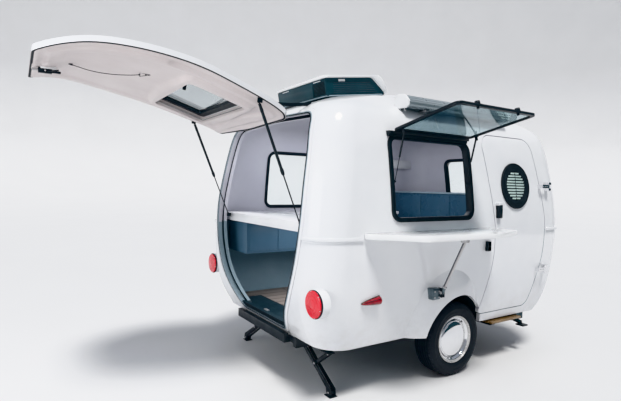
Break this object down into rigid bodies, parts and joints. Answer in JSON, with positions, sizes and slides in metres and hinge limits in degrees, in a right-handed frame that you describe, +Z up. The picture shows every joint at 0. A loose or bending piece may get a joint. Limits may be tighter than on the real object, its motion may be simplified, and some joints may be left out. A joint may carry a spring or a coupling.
{
  "type": "teardrop trailer",
  "caption": "Small white moulded-shell teardrop trailer with an open rear hatch, a raised side flap over a serving shelf, a round-windowed door and a roof air conditioner.",
  "frame": {"origin": "centre line of the ball socket in the coupler, at mid height of its straight wall", "axes": "+X forward, towards the towing vehicle; +Y left; +Z up"},
  "size_m": [5.7014, 2.643, 2.6655],
  "materials": {
    "gelcoat_white": "glossy moulded gelcoat",
    "trim_black": "satin black",
    "seal_rubber": "matt rubber",
    "chrome": "polished",
    "zinc": "plated steel",
    "chassis_black": "satin black paint",
    "rim_silver": "painted steel",
    "tyre": "matt rubber",
    "lens_red": "clear red moulding",
    "glass_clear": "clear acrylic",
    "glass_tint": "tinted acrylic",
    "awning_grey": "satin painted aluminium",
    "ac_dark": "dark moulded grille",
    "navy_panel": "satin laminate",
    "counter_white": "laminate",
    "floor_wood": "wood plank vinyl",
    "cord_black": "braided cord",
    "step_wood": "varnished slats"
  },
  "bodies": {
    "body": {"lower_shell": "gelcoat_white", "floor_pan": "gelcoat_white", "wheel_housings": "gelcoat_white", "upper_shell": "gelcoat_white", "belt_moulding": "gelcoat_white", "rear_rim": "gelcoat_white", "rear_jamb": "seal_rubber", "hatch_mounts": "trim_black", "serve_frame": "trim_black", "stay_brackets": "trim_black", "fixed_window_frames": "trim_black", "fixed_window_glass": "glass_clear", "door_hinge_posts": "chrome", "serving_shelf": "gelcoat_white", "shelf_brace": "zinc", "outlet_box": "trim_black", "tail_lamp_bases": "trim_black", "lamp_lenses": "lens_red", "ac_body": "ac_dark", "ac_cap": "gelcoat_white", "awning_case": "awning_grey", "frame_rails": "chassis_black", "tongue": "chassis_black", "coupler": "chassis_black", "tongue_jack": "zinc", "axle": "chassis_black", "rear_stabilisers": "chassis_black", "front_stabilisers": "chassis_black", "entry_step": "step_wood", "cabin_floor": "floor_wood", "counter": "counter_white", "side_cabinet": "navy_panel", "front_cabinet": "navy_panel"},
    "hatch": {"rear_hatch": "gelcoat_white", "hatch_window_frame": "trim_black", "hatch_window_glass": "glass_clear", "hatch_fittings": "trim_black", "hatch_latch": "trim_black", "pull_cord": "cord_black", "pull_ring": "zinc"},
    "hatch_strut_left": {"hatch_strut_tube_left": "trim_black"},
    "hatch_strut_right": {"hatch_strut_tube_right": "trim_black"},
    "hatch_piston_left": {"hatch_strut_rod_left": "zinc"},
    "hatch_piston_right": {"hatch_strut_rod_right": "zinc"},
    "flap": {"flap_frame": "trim_black", "flap_glass": "glass_tint", "flap_fittings": "trim_black"},
    "stay_rear": {"stay_tube_rear": "trim_black"},
    "stay_front": {"stay_tube_front": "trim_black"},
    "stay_piston_rear": {"stay_rod_rear": "zinc"},
    "stay_piston_front": {"stay_rod_front": "zinc"},
    "door": {"entry_door": "gelcoat_white", "porthole_ring": "trim_black", "porthole_glass": "glass_tint", "door_handle": "trim_black", "door_hinge_straps": "chrome"},
    "wheel_assembly_left": {"tyre_left": "tyre", "wheel_left": "rim_silver"},
    "wheel_assembly_right": {"tyre_right": "tyre", "wheel_right": "rim_silver"}
  },
  "joints": [
    {"name": "hatch_hinge", "type": "hinge", "parent": "body", "child": "hatch", "pos_m": [-3.915, 0, 1.838], "axis": [0, 1, 0], "range_deg": [-97.2, 0]},
    {"name": "hatch_strut_pivot_left", "type": "hinge", "parent": "hatch", "child": "hatch_strut_left", "pos_m": [-4.27265, 0.67, 1.79146], "axis": [0, 1, 0], "range_deg": [0, 128.08]},
    {"name": "hatch_strut_slide_left", "type": "slide", "parent": "hatch_strut_left", "child": "hatch_piston_left", "axis": [0.384, 0, -0.9233], "range_m": [-0.37261, 0]},
    {"name": "hatch_strut_pivot_right", "type": "hinge", "parent": "hatch", "child": "hatch_strut_right", "pos_m": [-4.27265, -0.67, 1.79146], "axis": [0, 1, 0], "range_deg": [0, 128.08]},
    {"name": "hatch_strut_slide_right", "type": "slide", "parent": "hatch_strut_right", "child": "hatch_piston_right", "axis": [0.384, 0, -0.9233], "range_m": [-0.37261, 0]},
    {"name": "flap_hinge", "type": "hinge", "parent": "body", "child": "flap", "pos_m": [-2.855, -0.978, 1.627], "axis": [-1, 0, 0], "range_deg": [-95.8, 0]},
    {"name": "stay_pivot_rear", "type": "hinge", "parent": "flap", "child": "stay_rear", "pos_m": [-3.265, -1.07735, 1.6224], "axis": [-1, 0, 0], "range_deg": [0, 115.47]},
    {"name": "stay_slide_rear", "type": "slide", "parent": "stay_rear", "child": "stay_piston_rear", "axis": [0, 0.2151, -0.9766], "range_m": [-0.1027, 0]},
    {"name": "stay_pivot_front", "type": "hinge", "parent": "flap", "child": "stay_front", "pos_m": [-2.432, -1.07735, 1.6224], "axis": [-1, 0, 0], "range_deg": [0, 115.47]},
    {"name": "stay_slide_front", "type": "slide", "parent": "stay_front", "child": "stay_piston_front", "axis": [0, 0.2151, -0.9766], "range_m": [-0.1027, 0]},
    {"name": "door_hinge", "type": "hinge", "parent": "body", "child": "door", "pos_m": [-1.247, -1.046, 0.838], "axis": [0, 0, 1], "range_deg": [0, 110]},
    {"name": "wheel_spin_left", "type": "hinge", "parent": "body", "child": "wheel_assembly_left", "pos_m": [-2.45, 0.862, -0.113], "axis": [0, 1, 0], "continuous": true},
    {"name": "wheel_spin_right", "type": "hinge", "parent": "body", "child": "wheel_assembly_right", "pos_m": [-2.45, -0.862, -0.113], "axis": [0, 1, 0], "continuous": true}
  ],
  "couplings": [
    {"joint": "hatch_strut_pivot_left", "follows": "hatch_hinge", "ratio": -1.3126},
    {"joint": "hatch_strut_slide_left", "follows": "hatch_hinge", "m_per_rad": 0.21846},
    {"joint": "hatch_strut_pivot_right", "follows": "hatch_hinge", "ratio": -1.3126},
    {"joint": "hatch_strut_slide_right", "follows": "hatch_hinge", "m_per_rad": 0.21846},
    {"joint": "stay_pivot_rear", "follows": "flap_hinge", "ratio": -1.2001},
    {"joint": "stay_slide_rear", "follows": "flap_hinge", "m_per_rad": 0.06023},
    {"joint": "stay_pivot_front", "follows": "flap_hinge", "ratio": -1.2001},
    {"joint": "stay_slide_front", "follows": "flap_hinge", "m_per_rad": 0.06023}
  ]
}
